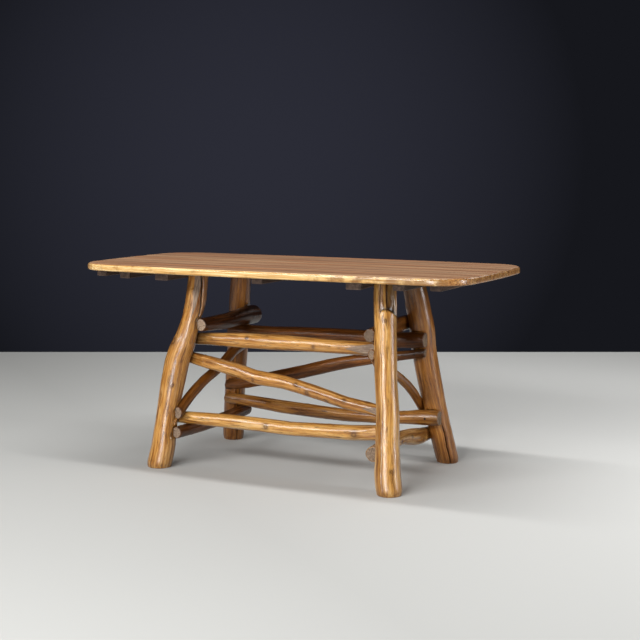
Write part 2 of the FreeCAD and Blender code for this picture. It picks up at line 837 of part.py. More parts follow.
poles = {
    "front_upper_rail": Pole(front_upper_diameter, front_ends, front_upper_heights,
                             front_reaches, BACK, front_upper_shares),
    "front_diagonal_rail": Pole(front_diagonal_diameter, front_ends, front_diagonal_heights,
                                front_reaches, BACK, front_diagonal_shares),
    "front_lower_rail": Pole(front_lower_diameter, front_ends, front_lower_heights,
                             front_reaches, BACK, front_lower_shares),
    "back_upper_rail": Pole(back_upper_diameter, back_ends, back_upper_heights,
                            back_reaches, forward, back_upper_shares),
    "back_diagonal_rail": Pole(back_diagonal_diameter, back_ends, back_diagonal_heights,
                               diagonal_reaches, forward, back_diagonal_shares),
    "back_lower_rail": Pole(back_lower_diameter, back_ends, back_lower_heights,
                            back_reaches, forward, back_lower_shares),
    "left_upper_rail": Pole(left_upper_diameter, left_ends,
                            [left_upper_height, left_upper_height],
                            stub_reaches, RIGHT, left_upper_shares),
    "left_brace": Pole(left_brace_diameter, left_ends, left_brace_heights,
                       left_reaches, RIGHT, left_brace_shares),
    "left_lower_rail": Pole(left_lower_diameter, left_ends,
                            [left_lower_height, left_lower_height],
                            left_reaches, RIGHT, left_lower_shares),
    "right_upper_rail": Pole(right_upper_diameter, right_ends,
                             [right_upper_height, right_upper_height],
                             right_reaches, leftward, right_upper_shares),
    "right_brace": Pole(right_brace_diameter, right_ends, right_brace_heights,
                        right_reaches, leftward, right_brace_shares),
    "right_lower_rail": Pole(right_lower_diameter, right_ends,
                             [right_lower_front_height, right_lower_back_height],
                             stub_reaches, leftward, right_lower_shares),
}

bearers = {
    "left_bearer": Bearer("front_left_leg", "back_left_leg"),
    "right_bearer": Bearer("front_right_leg", "back_right_leg"),
}

nails = []
nail_holes = []
for name, bearer in bearers.items():
    low = bearer.start.y
    high = low + bearer.length * bearer.along.y
    holes = []
    for y in board_centres(low, high, [flank.y for flank in bearer.flanks]):
        middle = bearer.start + bearer.side * (bearer_width / 2)
        x = middle.x + bearer.along.x * (y - middle.y) / bearer.along.y
        nail, hole = cleat_nail(x, y)
        nails.append(nail)
        holes.append(hole)
    nail_holes += holes
    export(name, bearer.solid.cut(bearer.cutters + holes))

for number, (centre_share, half_length_share) in enumerate(cleat_shares):
    x = centre_share * table_length / 2
    reach = half_length_share * table_width / 2
    start = Vector(x + cleat_width / 2, -reach, leg_height)
    solid = plank(start, BACK, leftward * cleat_width, reach * 2)
    pairs = [cleat_nail(x, y) for y in board_centres(-reach, reach, [])]
    nails += [nail for nail, hole in pairs]
    holes = [hole for nail, hole in pairs]
    nail_holes += holes
    export("cleat_" + str(number + 1), solid.cut(holes))

top = slab()
for number in range(board_count):
    body = prism(board_profile(number), RIGHT * (table_length + overrun * 2))
    export("top_board_" + str(number + 1), top.common(body).cut(nail_holes))

for name, pole in poles.items():
    export(name, pole.pole.cut(pole.cutters))
for name, leg in legs.items():
    export(name, leg.trunk.cut(leg.cutters))

sides = {
    "front_rail_spikes": ["front_upper_rail", "front_diagonal_rail", "front_lower_rail"],
    "back_rail_spikes": ["back_upper_rail", "back_diagonal_rail", "back_lower_rail"],
    "left_end_spikes": ["left_upper_rail", "left_brace", "left_lower_rail"],
    "right_end_spikes": ["right_upper_rail", "right_brace", "right_lower_rail"],
}
for name, held in sides.items():
    export(name, Part.makeCompound([spike for pole in held for spike in poles[pole].spikes]))
export("bearer_bolts", Part.makeCompound([b for bearer in bearers.values() for b in bearer.bolts]))
export("cleat_nails", Part.makeCompound(nails))
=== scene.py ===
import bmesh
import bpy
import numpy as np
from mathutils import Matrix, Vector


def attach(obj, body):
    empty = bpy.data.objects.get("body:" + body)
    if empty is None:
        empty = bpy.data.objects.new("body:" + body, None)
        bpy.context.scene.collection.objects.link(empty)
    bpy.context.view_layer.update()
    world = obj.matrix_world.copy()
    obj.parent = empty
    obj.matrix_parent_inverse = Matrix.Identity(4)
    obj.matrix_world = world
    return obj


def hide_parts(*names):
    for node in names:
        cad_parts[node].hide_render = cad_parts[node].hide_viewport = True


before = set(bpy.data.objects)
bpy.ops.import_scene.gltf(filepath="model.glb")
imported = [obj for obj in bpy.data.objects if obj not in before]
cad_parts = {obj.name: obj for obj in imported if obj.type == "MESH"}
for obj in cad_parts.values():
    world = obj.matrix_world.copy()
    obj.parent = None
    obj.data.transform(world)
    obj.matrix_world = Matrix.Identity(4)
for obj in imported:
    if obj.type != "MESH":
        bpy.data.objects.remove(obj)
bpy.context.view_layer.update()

# %% [markdown]
# # A rustic hickory table
# The real table is a thick plank top on a base of peeled and varnished hickory poles.
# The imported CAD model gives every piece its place. Here each trunk and pole gets a skin
# with knots, checks and tool marks, and each surface gets a material.
# Everything is in metres. One helper turns millimetres into metres, so that sizes can be
# written the way a maker would write them.

mm = 0.001


def linear(hex_colour):
    """sRGB hex to linear RGBA: each channel c becomes c/12.92 below 0.04045, else ((c+0.055)/1.055)^2.4."""
    c = np.array([int(hex_colour[i:i + 2], 16) for i in (1, 3, 5)]) / 255
    c = np.where(c <= 0.04045, c / 12.92, ((c + 0.055) / 1.055) ** 2.4)
    return (*c.tolist(), 1.0)


# %% [markdown]
# ## Camera, floor and light
# The photograph was taken from the front right, a little above the table top, with a long
# lens. The camera could be placed by eye, but its place was worked out from the four feet
# and the outline of the top, so its numbers are used as they are.

# %% Camera
azimuth, elevation = np.radians(27.0674), np.radians(7.0014)
back = Vector((np.sin(azimuth) * np.cos(elevation),
               -np.cos(azimuth) * np.cos(elevation),
               np.sin(elevation)))
camera = bpy.data.objects.new("camera", bpy.data.cameras.new("camera"))
camera.data.sensor_width, camera.data.lens = 36, 72.88
camera.data.clip_end = 60
camera.location = (2.1884, -4.1212, 1.1061)
camera.rotation_euler = (-back).to_track_quat("-Z", "Y").to_euler()
bpy.context.scene.collection.objects.link(camera)
bpy.context.scene.camera = camera
bpy.context.scene.view_settings.view_transform = "Standard"
print("camera", round(camera.location.length, 3), "m from the middle of the floor")


# %% [markdown]
# Every material below is a small tree of nodes. One function adds a node: its own options
# come by name, its inputs as a list or a dictionary of values and links, and a ramp as a
# list of places and colours. It gives back one output, so calls can be put in each other.
# A Mix node takes its share at input 0, its two colours at inputs 6 and 7, and gives the
# mixed colour at output 2. A MapRange node takes a value, its range, and the range that it
# is brought to, which is 0 to 1 where it is left out. Two short names hold the options
# that come back most often.

# %% One node helper
def feed(node, inputs):
    """Gives a node's inputs, by number or by name, their values or links."""
    for name, value in inputs.items() if isinstance(inputs, dict) else enumerate(inputs):
        if isinstance(value, bpy.types.NodeSocket):
            node.id_data.links.new(value, node.inputs[name])
        else:
            node.inputs[name].default_value = value


def add(tree, kind, inputs=(), out=0, ramp=(), **options):
    """Adds a node, whose kind is Blender's name for it without ShaderNode in front.

    Sets its options, gives its inputs values or links and fills its ramp. Gives back one
    output, or all of them where out is None.
    """
    new = tree.nodes.new("ShaderNode" + kind)
    for name, value in options.items():
        setattr(new, name, value)
    feed(new, inputs)
    for number, (place, colour) in enumerate(ramp):
        stops = new.color_ramp.elements
        stop = stops[number] if number < 2 else stops.new(place)
        stop.position = place
        stop.color = linear(colour) if isinstance(colour, str) else (colour, colour, colour, 1)
    return new.outputs[out] if out is not None else new.outputs


rgba = {"out": 2, "data_type": "RGBA"}
smooth = {"interpolation_type": "SMOOTHSTEP"}


def material(name):
    """A new material with its tree and its shader, named for what the real one is."""
    made = bpy.data.materials.new(name)
    made.use_nodes = True
    return made, made.node_tree, made.node_tree.nodes["Principled BSDF"]


# %% [markdown]
# The floor is a plain pale studio floor that ends in a straight line behind the table, in
# front of a dark slate wall. The floor looks pale, but light that it would throw up against
# the undersides of the poles is held down, because the photograph's undersides are dark.
# The wall could be a sheet that stands there, but it would hide the table from behind. So
# it is the world itself, seen only by the camera and in reflections. All other rays get a
# little grey light from it. The wall is lit in its middle, a little left of the table. The
# floor is paler towards the back right, which evens out the lamps that stand at the left.

# %% Floor
ahead = Vector((-np.sin(azimuth), np.cos(azimuth), 0))
rightward = Vector((np.cos(azimuth), np.sin(azimuth), 0))
floor_front, floor_behind, floor_side = 14, 2.81, 14


def studio_rays(tree):
    """1 for the rays that show the studio itself: the camera's, and those in gloss and glass."""
    rays = add(tree, "LightPath", out=None)
    shown = add(tree, "Math", [rays["Is Camera Ray"], rays["Is Glossy Ray"]], operation="MAXIMUM")
    return add(tree, "Math", [shown, rays["Is Transmission Ray"]], operation="MAXIMUM")


corners = [ahead * away + rightward * aside for away, aside in (
    (-floor_front, -floor_side), (-floor_front, floor_side),
    (floor_behind, floor_side), (floor_behind, -floor_side))]
mesh = bpy.data.meshes.new("floor")
mesh.from_pydata(corners, [], [(0, 1, 2, 3)])
floor = bpy.data.objects.new("floor", mesh)
bpy.context.scene.collection.objects.link(floor)

paper, tree, shader = material("matt_studio_floor")
place = add(tree, "TexCoord", out="Object")
paler_towards = ahead * 0.14 + rightward * 0.30  # how much per metre
far = add(tree, "VectorMath", [place, paler_towards], out="Value", operation="DOT_PRODUCT")
far = add(tree, "MapRange", [far, -0.15, 0.60])
pale = add(tree, "Mix", {0: far, 6: linear("#bebebb"), 7: linear("#f2f2ef")}, **rgba)
pale = add(tree, "Mix", {0: studio_rays(tree), 6: linear("#75726e"), 7: pale}, **rgba)
feed(shader, {"Base Color": pale, "Roughness": 0.85})
floor.data.materials.append(paper)
print("floor ends", floor_behind, "m behind the table")

# %% World
world = bpy.data.worlds.new("studio")
world.use_nodes = True
bpy.context.scene.world = world
tree = world.node_tree
tree.nodes.clear()
wall_middle = azimuth + 0.045
towards = (-np.sin(wall_middle), np.cos(wall_middle), 0)
look = add(tree, "TexCoord", out="Generated")
lit = add(tree, "VectorMath", [look, towards], out="Value", operation="DOT_PRODUCT")
lit = add(tree, "MapRange", [lit, 0.970, 1.0])
slate = add(tree, "Mix", {0: lit, 6: linear("#16171c"), 7: linear("#2b2c36")}, **rgba)
slate = add(tree, "Background", [slate, 1.0])
fill = add(tree, "Background", [(1, 1, 1, 1), 0.20])
add(tree, "OutputWorld", [add(tree, "MixShader", [studio_rays(tree), fill, slate])], out=None)


# %% [markdown]
# The shadow under the table has a clear front edge and soft ends, so the first soft box is
# right over the front edge of the top, long and narrow. The pale stripe along each pole
# and trunk shows where the second one hangs: a long strip across the front, thirty degrees
# up. A pole sends its stripe to the camera only from a lamp on the far side of the pole's
# own perpendicular, so the strip reaches well to the left. An upright trunk sends its
# stripe from a lamp no higher than itself, so a low box stands at the front too. One at
# the right draws the stripe on the back right trunk, and a weak one behind it the gleam on
# the top's right corner.

# %% Lamps
def soft_box(name, place, aim, width, height, watts):
    """Rectangular lamp at a place, turned so that it faces the aim."""
    lamp = bpy.data.lights.new(name, "AREA")
    lamp.shape, lamp.size, lamp.size_y, lamp.energy = "RECTANGLE", width, height, watts
    holder = bpy.data.objects.new(name, lamp)
    holder.location = place
    holder.rotation_euler = (Vector(aim) - Vector(place)).to_track_quat("-Z", "Y").to_euler()
    holder.visible_camera = False
    bpy.context.scene.collection.objects.link(holder)


soft_box("overhead_box", (-0.10, -0.34, 3.4), aim=(-0.10, -0.34, 0), width=2.6, height=0.2, watts=46)
soft_box("front_box", (-0.9, -4.4, 2.8), aim=(0, 0, 0.40), width=4.4, height=0.75, watts=205)
soft_box("low_front_box", (0.9, -4.6, 0.85), aim=(0.2, 0, 0.40), width=1.4, height=1.5, watts=95)
soft_box("right_box", (3.8, 0.3, 1.2), aim=(0, 0, 0.40), width=0.5, height=1.7, watts=44)
soft_box("corner_box", (1.35, 2.3, 2.35), aim=(0.70, -0.20, 0.72), width=0.9, height=0.9, watts=8)

# %% [markdown]
# ## Skins for the trunks and poles
# A real pole is a young tree with its bark peeled off: nearly round, never straight, with
# low knots where branches were cut, and long drying checks. The CAD solids have the right
# bends, girths and hewn flats, but in flat faces. Each could be sculpted by hand. Instead,
# the solid is measured: planes cut it at many stations along its run, and in each plane
# rays go out from the middle. That gives a radius for each station and angle, a function
# of two parameters, which is then smoothed and given its knots and marks.

# %% Reading a node
def triangles(node):
    """Corners of a CAD node's triangles as an array of triangle, corner, xyz."""
    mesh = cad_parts[node].data
    mesh.calc_loop_triangles()
    places = np.empty(len(mesh.vertices) * 3)
    mesh.vertices.foreach_get("co", places)
    corners = np.empty(len(mesh.loop_triangles) * 3, dtype=np.int32)
    mesh.loop_triangles.foreach_get("vertices", corners)
    return places.reshape(-1, 3)[corners].reshape(-1, 3, 3)


print("front_left_leg has", len(triangles("front_left_leg")), "triangles")

# %% Cutting it at stations
def cuts(tri, axis, stations):
    """Lines in which planes across an axis cut the triangles.

    A triangle's edge from a to b, at heights ha and hb over the plane, meets it at
    a + (b - a) ha / (ha - hb). Gives each line's station and its two ends in the plane.
    """
    level = tri[:, :, axis]
    over, under = stations[:, None] > level.min(1), stations[:, None] < level.max(1)
    station, number = np.nonzero(over & under)
    a, ha = tri[number], level[number] - stations[station][:, None]
    b, hb = np.roll(a, -1, axis=1), np.roll(ha, -1, axis=1)
    crossed = (ha > 0) != (hb > 0)
    with np.errstate(divide="ignore", invalid="ignore"):
        meets = a + (b - a) * (ha / (ha - hb))[..., None]
    two = np.argsort(~crossed, axis=1, kind="stable")[:, :2]
    ends = np.take_along_axis(meets, two[:, :, None], axis=1)
    return station, ends[:, :, [(axis + 1) % 3, (axis + 2) % 3]]


def middles(station, ends, count):
    """Middle of each cut, half way between its lowest and highest corner in both directions."""
    low, high = np.full((count, 2), np.inf), np.full((count, 2), -np.inf)
    for end in (0, 1):
        np.minimum.at(low, station, ends[:, end])
        np.maximum.at(high, station, ends[:, end])
    return (low + high) / 2


def soften(values, spread):
    """Running mean along the stations with a bell of a spread, the ends carried on straight."""
    width = int(np.ceil(spread * 3))
    weights = np.exp(-0.5 * (np.arange(-width, width + 1) / spread) ** 2)
    weights /= weights.sum()
    first = 2 * values[:1] - values[width:0:-1]
    last = 2 * values[-1:] - values[-2:-width - 2:-1]
    padded = np.concatenate([first, values, last])
    windows = np.lib.stride_tricks.sliding_window_view(padded, 2 * width + 1, axis=0)
    return windows @ weights


# %% Rays in each plane
def radii(station, ends, centre, turns):
    """Radius at each station and turn.

    A ray r d from the centre meets the line p + q e where r = (p x e) / (d x e) and
    q = (p x d) / (d x e), with q from 0 to 1; the farthest line that it meets counts.
    """
    d = np.stack([np.cos(turns), np.sin(turns)])
    p = ends[:, 0] - centre[station]
    e = ends[:, 1] - ends[:, 0]
    across = d[0] * e[:, 1:] - d[1] * e[:, :1]
    with np.errstate(divide="ignore", invalid="ignore"):
        r = (p[:, :1] * e[:, 1:] - p[:, 1:] * e[:, :1]) / across
        q = (p[:, :1] * d[1] - p[:, 1:] * d[0]) / across
    line, turn = np.nonzero((r > 0) & (q > -0.001) & (q < 1.001))
    found = np.zeros((len(centre), len(turns)))
    np.maximum.at(found, (station[line], turn), r[line, turn])
    return found


def without_holes(found, along, around):
    """The radii with nail and bolt holes closed: a value far off its neighbours' median takes it."""
    rows = np.pad(found, ((along, along), (0, 0)), mode="edge")
    rows = np.pad(rows, ((0, 0), (around, around)), mode="wrap")
    near = np.lib.stride_tricks.sliding_window_view(rows, (2 * along + 1, 2 * around + 1))
    median = np.median(near.reshape(*found.shape, -1), axis=2)
    return np.where(np.abs(found - median) > 1.2 * mm, median, found)


def round_part(found, turns):
    """The round that the flats were hewn from: waves of order 0 to 3, fitted in twelve rounds.

    A point that lies 0.5 mm or more under the fit is on a flat, and counts little in the next.
    """
    basis = np.stack([np.ones_like(turns)] + [f(n * turns) for n in (1, 2, 3) for f in (np.cos, np.sin)])
    weight = np.ones_like(found)
    for _ in range(12):
        square = np.einsum("st,at,bt->sab", weight, basis, basis)
        side = np.einsum("st,at,st->sa", weight, basis, found)
        fitted = np.linalg.solve(square, side[..., None])[..., 0] @ basis
        weight = np.where(found < fitted - 0.5 * mm, 0.02, 1.0)
    return fitted


# %% [markdown]
# The peeled surface has more on it than its round: it swells and dips, the drawknife left
# short ripples, the knots stand up a little with a dished middle, and a check opens along
# the grain. Each is one formula on the grid of stations and turns. What a formula finds out
# on the way, such as how far a point is from the nearest knot, is kept as an attribute,
# because the material needs it.

# %% Swells and ripples
def waves(s, turns, lengths, most_lobes, size, seed):
    """Sum of ten waves cos(2 pi s / length + order turn + start), each drawn by chance."""
    own = np.random.default_rng(seed)
    length, height = own.uniform(*lengths, 10), own.uniform(0.3, 1.0, 10)
    order, start = own.integers(-most_lobes, most_lobes + 1, 10), own.uniform(0, 2 * np.pi, 10)
    wave = np.cos(2 * np.pi * s[:, None, None] / length + order * turns[None, :, None] + start)
    return size * (wave * height).sum(2) / height.sum()


def bell(x):
    """1 at 0, falling off smoothly to both sides: exp(-x^2)."""
    return np.exp(-x ** 2)


def half_turn(angle):
    """An angle brought to between -pi and pi."""
    return (angle + np.pi) % (2 * np.pi) - np.pi


# %% Knots and checks
def around_knots(s, turns, radius, knots):
    """Place of each point by its nearest knot, in knot sizes along and around, and its height."""
    if not knots:
        far = np.full(radius.shape, 9.0)
        return far, far, far * 0
    along, turn, size, height = (np.array(v)[None, None, :] for v in zip(*knots))
    ds = (s[:, None, None] - along) / (size * mm)
    dt = half_turn(turns[None, :, None] - np.radians(turn)) * radius[:, :, None] / (size * mm)
    nearest = np.argmin(ds ** 2 + dt ** 2, axis=2)[..., None]
    return [np.take_along_axis(np.broadcast_to(v, dt.shape), nearest, 2)[..., 0] for v in (ds, dt, height)]


def along_checks(s, turns, radius, checks):
    """Distance around to the nearest check, or 60 mm, with its sign, and its half width and depth.

    A check runs at turn + twist (s - middle) plus two small waves, and closes over its last 35 mm.
    """
    off, half, deep = np.full(radius.shape, 60 * mm), np.full(radius.shape, mm), np.zeros(radius.shape)
    for turn, first, last, twist, wide, depth in checks:
        path = np.radians(turn + twist * (s - (first + last) / 2))
        path = path + 0.014 * np.sin(s * 71) + 0.009 * np.sin(s * 173)
        around = half_turn(turns[None, :] - path[:, None]) * radius
        fade = np.clip(np.minimum(s - first, last - s) / (35 * mm), 0, 1)[:, None]
        nearer = (np.abs(around) < np.abs(off)) & (fade > 0)
        off = np.where(nearer, around, off)
        half = np.where(nearer, wide * mm / 2 * (0.35 + 0.65 * fade), half)
        deep = np.where(nearer, depth * mm * fade, deep)
    return off, half, deep


def worn(s, turns, flat, bare):
    """How far the varnish is gone, from 0 to 1.

    bare are stretches (from, to, turn, spread): a wedge round the turn that opens from nothing to
    the spread in degrees, or, where the spread is 0, all the hewn flats in the stretch.
    """
    soft_edge = 0.12  # radians
    gone = np.zeros(flat.shape)
    for low, high, turn, spread in bare:
        share = ((s - low) / (high - low))[:, None]
        off = np.abs(half_turn(turns[None, :] - np.radians(turn)))
        wedge = np.clip((share * np.radians(spread) - off) / soft_edge, 0, 1)
        gone = np.maximum(gone, np.where((share > 0) & (share < 1), wedge if spread else flat, 0))
    return gone


# %% [markdown]
# The front right trunk has a form of its own: its broad face stands proud of a narrow lobe
# on its left, with a sharp step between them, and near the top the face ends in a rounded
# arch, above which the trunk was hewn back to pass the top's frame. This could be a second
# piece laid on the trunk, but it is one tree, so its skin is carved by one more formula.

# %% The stepped face
def rise(x):
    """From 0 to 1 with its middle at 0: 1 / (1 + exp(-x))."""
    return 1 / (1 + np.exp(-x))


def stepped_face(s, turns, r):
    """Radius of the front right trunk after carving, and the painted shade in its groove, along its arch and
    in the cut-back part above it.

    Right of the step at -93 degrees the face is 2 mm proud, left of it 3 mm lower, with a narrow
    groove between them. The arch falls from z = 609 mm at -70 degrees by 18 mm over 70 degrees, and
    above it the skin is cut back 8 mm between the step and 8 degrees.
    """
    degrees = np.degrees(half_turn(turns))[None, :]
    z = s[:, None]
    wander = degrees + 93 + 1.5 * np.sin(z * 13) + 0.8 * np.sin(z * 41)
    right = rise(wander / 0.9)
    fade = np.clip(z / (50 * mm), 0, 1)
    proud = right * np.clip(1 - wander / 45, 0, 1) * 2.2
    proud -= (1 - right) * np.clip(1 + (wander + 4) / 60, 0, 1) * 3.0
    groove = fade * bell((wander + 1.5) / 1.8)
    arch = 609 * mm - 18 * mm * ((degrees + 70) / 70) ** 2 - 8 * mm * bell((degrees + 93) / 6)
    above = rise((z - arch) / (0.9 * mm))
    within = right * rise((8 - degrees) / 3.0)
    shoulder = np.clip(1 - (arch - z) / (9 * mm), 0, 1)
    rounded = (1 - np.sqrt(1 - shoulder ** 2 * 0.96)) * 2.6 * mm * within * (1 - above)
    under = above * within * np.exp(-np.clip(z - arch, 0, 1) / (8 * mm))
    # Painted shade: the groove, the arch's edge and the cut-back part above the arch are darkened.
    dark = groove * 0.9 + under * 0.9 + above * (0.25 + within * (degrees > -58) * 0.45)
    carved = r + fade * proud * mm - groove * 2.5 * mm - above * within * 8 * mm - rounded
    return carved, np.clip(dark, 0, 1)


# %% [markdown]
# A cut end is sawn across and its rim is worn round. So the grid goes over the rim in a
# few rows and closes in to the pith. The cut face is marked with an attribute, for the
# material shows rings and grey sawn wood there.

# %% Measuring one piece
def measure(node, axis, pitch, count):
    """Both ends of a node, its stations, turns, middles and radii, and the round it was hewn from."""
    tri = triangles(node)
    first, last = tri[:, :, axis].min(), tri[:, :, axis].max()
    s = np.linspace(first + 0.05 * mm, last - 0.05 * mm, int((last - first) / (pitch * mm)))
    turns = np.arange(count) * 2 * np.pi / count
    station, ends = cuts(tri, axis, s)
    centre = soften(middles(station, ends, len(s)), 16 / pitch)
    found = without_holes(radii(station, ends, centre, turns), along=4, around=6)
    return first, last, s, turns, centre, found, round_part(found, turns)


# %% Closing the ends
def with_ends(first, last, s, ease):
    """Columns from pith to pith: row of the grid, shrink, share of radius, place, 1 on a cut face.

    Over a rim of radius ease, the row at angle a is ease (1 - cos a) in and ease (1 - sin a) from
    the end. Inside the rim, the rows close in on the pith by the shares.
    """
    bend = np.radians([90, 68, 45, 22, 0])
    shares = np.array([0.02, 0.1, 0.25, 0.45, 0.65, 0.83, 0.95, 0.99])
    inner, rim = np.ones(len(shares)), np.ones(len(bend))
    shrink = np.r_[inner, 1 - np.cos(bend)] * ease * mm
    step = np.r_[0 * inner, 1 - np.sin(bend)] * ease * mm
    left, face = np.r_[shares, rim], np.r_[inner, 0 * rim]
    clear = ease * mm * 1.05
    keep = np.nonzero((s > first + clear) & (s < last - clear))[0]
    low, high = np.full(len(left), keep[0]), np.full(len(left), keep[-1])
    none, one = np.zeros(len(keep)), np.ones(len(keep))
    return [np.concatenate(column) for column in (
        (low, keep, high), (shrink, none, shrink[::-1]), (left, one, left[::-1]),
        (first + step, s[keep], (last - step)[::-1]), (face, none, face[::-1]))]


# %% Building the mesh
def tube(name, points, tips, marks):
    """Mesh of a closed tube: quads between the rows of points, a fan to each tip, marks as attributes."""
    rows, count = points.shape[:2]
    row, col = np.meshgrid(np.arange(rows - 1), np.arange(count), indexing="ij")
    here, beside = row * count + col, row * count + (col + 1) % count
    quads = np.stack([here, beside, beside + count, here + count], 2).reshape(-1, 4)
    ring, top = np.arange(count), (rows - 1) * count
    after = (ring + 1) % count
    fans = np.concatenate([np.stack([np.full(count, rows * count), after, ring], 1),
                           np.stack([np.full(count, rows * count + 1), top + ring, top + after], 1)])
    mesh = bpy.data.meshes.new(name)
    mesh.from_pydata(np.concatenate([points.reshape(-1, 3), tips]), [], quads.tolist() + fans.tolist())
    for mark, (values, at_tips) in marks.items():
        stored = mesh.attributes.new(mark, "FLOAT_VECTOR", "POINT")
        stored.data.foreach_set("vector", np.concatenate([values.reshape(-1, 3), at_tips]).ravel())
    return mesh


def piece(mesh, node, crease):
    """The object of a mesh, smooth up to a crease in degrees, that takes the place of a CAD node."""
    mesh.polygons.foreach_set("use_smooth", np.ones(len(mesh.polygons), dtype=bool))
    mesh.set_sharp_from_angle(angle=np.radians(crease))
    made = bpy.data.objects.new(mesh.name, mesh)
    bpy.context.scene.collection.objects.link(made)
    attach(made, "root")
    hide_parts(node)
    return made


# %% One skin
def skin(node, axis, knots=(), checks=(), tone=0.3, end_tone=0.4, pitch=4.0, count=88, ease=3.0,
         lump=0.6, seed=1, carve=None, bare=(), shade_patches=()):
    """Skin of a trunk or pole: centre(s) + r(s, turn) (cos turn, sin turn), closed over both ends.

    knots are (place in metres, turn in degrees, size mm, height mm); checks are (turn, from, to,
    twist, width mm, depth mm); tone goes from 0 for pale gold to 1 for dark, and end_tone does so
    for the sawn ends; bare goes to worn; the last argument gives patches of painted shade as
    (place in metres, size mm, share).
    """
    first, last, s, turns, centre, found, whole = measure(node, axis, pitch, count)
    hewn = np.clip((whole - found) / mm - 0.5, 0, 1)
    whole = soften(whole, 10 / pitch)
    ds, dt, height = around_knots(s, turns, whole, knots)
    away = np.hypot(ds, dt)
    off, half, deep = along_checks(s, turns, whole, checks)
    swells = waves(s, turns, (0.09, 0.34), 3, lump * mm, seed)
    ripples = waves(s, turns, (0.03, 0.08), 5, 0.22 * mm, seed + 500)
    r = whole + swells + ripples + height * mm * (bell(away / 1.1) - 0.45 * bell(away / 0.42))
    r, dark = carve(s, turns, r) if carve else (r, 0 * r)
    r = np.where(hewn > 0, np.minimum(r, found), r) - deep * bell(off / (half * 1.3))
    gone = worn(s, turns, np.clip((whole - found) / mm * 1.5 - 0.3, 0, 1), bare)

    # Painted shade: at a leg's foot over 30 mm where it stands on the floor, at a pole's ends over 50 mm
    # where it meets the trunks, and in its patches
    from_end = np.minimum(s - first, last - s)
    painted_shade_mask = 0.35 * np.exp(-s / (30 * mm)) if axis == 2 else 0.5 * np.exp(-from_end / (50 * mm))
    for place, size, share in shade_patches:
        painted_shade_mask = np.maximum(painted_shade_mask, share * bell((s - place) / (size * mm)))
    dark = np.maximum(dark, painted_shade_mask[:, None])

    order, shrink, left, run, face = with_ends(first, last, s, ease)
    radius = (r[order] - shrink[:, None]) * left[:, None]
    middle = centre[order]
    line = np.concatenate([run[:, None], middle], 1)
    length = seed * 0.917 + np.r_[0, np.cumsum(np.linalg.norm(np.diff(line, axis=0), axis=1))]
    along, run_length, cut_face = (np.repeat(column[:, None], count, 1) for column in (run, length, face))
    across, upright = radius * np.cos(turns), radius * np.sin(turns)
    points = np.stack([along, middle[:, :1] + across, middle[:, 1:] + upright], 2)
    tips = np.concatenate([[[first], [last]], middle[[0, -1]]], 1)

    # Log coordinates: length along the bent middle from a start of its own, and the section laid
    # straight, with its grain parted round the knots
    parted = (turns - 0.55 * (bell(away / 1.5) * dt * 12 * mm / whole))[order]
    log = np.stack([run_length, radius * np.cos(parted), radius * np.sin(parted)], 2)
    toned = np.where(cut_face > 0, end_tone, tone)
    mesh = tube(node + "_peeled", np.roll(points, axis, axis=2), np.roll(tips, axis, axis=1), {
        "log": (log, [[length[0], 0, 0], [length[-1], 0, 0]]),
        "knot": (np.stack([ds, dt, height], 2)[order], [[9, 9, 0]] * 2),
        "check": (np.stack([off / half, deep / mm, gone], 2)[order], [[60, 0, 0]] * 2),
        "face": (np.stack([cut_face, toned, dark[order]], 2), [[1, end_tone, 0]] * 2),
    })
    print(node, points.shape[:2], "grid, of which", round(float(gone.mean()), 3), "is worn bare")
    return piece(mesh, node, crease=40)


# %% [markdown]
# ## Peeled and varnished hickory
# The sapwood under hickory bark is honey gold, with reddish brown streaks of inner bark
# that the knife left behind, fine dark dashes along the grain, and dark rings at knots.
# A clear glossy varnish lies on it. Grain is a noise that is stretched along the pole:
# the attribute log holds the straightened place of each point, so the streaks follow
# every bend and part round the knots. The real poles differ, so each has a tone that
# takes its ground from gold over amber to brown.

# %% Grain and coats
def grains(tree, place, noises, axis=0):
    """Noises stretched along an axis, by name: (mm across the grain, mm along it, detail, roughness)."""
    made = {}
    for name, (across, along, detail, rough) in noises.items():
        scale = [1 / (across * mm)] * 3
        scale[axis] = 1 / (along * mm)
        laid = add(tree, "Mapping", {"Vector": place, "Scale": scale})
        made[name] = add(tree, "TexNoise", {
            "Vector": laid, "Scale": 1.0, "Detail": detail, "Roughness": rough})
    return made


def coated(tree, ground, coats):
    """The ground under thin coats of other colours, each laid on with a share of 0 to 1.

    A coat is (share, colour), or (noise, from, to, most, colour) where the share rises smoothly
    from 0 to the most while the noise goes from one value to the other.
    """
    for *share, tint in coats:
        if len(share) > 1:
            noise, low, high, most = share
            share = [add(tree, "MapRange", [noise, low, high, 0.0, most], **smooth)]
        ground = add(tree, "Mix", {0: share[0], 6: ground, 7: linear(tint)}, **rgba)
    return ground


# %% Varnished hickory
hickory, tree, shader = material("varnished_peeled_hickory")
log = add(tree, "Attribute", out="Vector", attribute_name="log")
(along_knot, around_knot, _), (off_check, check_depth, gone), (cut_face, tone, painted_shade_coat) = (
    add(tree, "SeparateXYZ", [add(tree, "Attribute", out="Vector", attribute_name=mark)], out=None)
    for mark in ("knot", "check", "face"))
grain = grains(tree, log, {
    "broad": (34, 380, 3, 0.55), "middle": (9, 150, 4, 0.6), "fine": (2.2, 60, 4, 0.65),
    "dash": (3.0, 24, 3, 0.6), "pale": (6, 240, 3, 0.6), "dip": (14, 60, 3, 0.6), "bark": (12, 120, 5, 0.7)})
golden, amber, brown = (add(tree, "ValToRGB", [grain["middle"]], ramp=stops) for stops in (
    [(0.30, "#7d4c1b"), (0.42, "#b57c36"), (0.54, "#d39d51"), (0.72, "#e9c186")],
    [(0.30, "#6a3d12"), (0.42, "#93581f"), (0.54, "#b0722d"), (0.72, "#c98f4c")],
    [(0.30, "#1f0c02"), (0.46, "#421f07"), (0.60, "#6b380e"), (0.78, "#98591f")]))
colour = golden
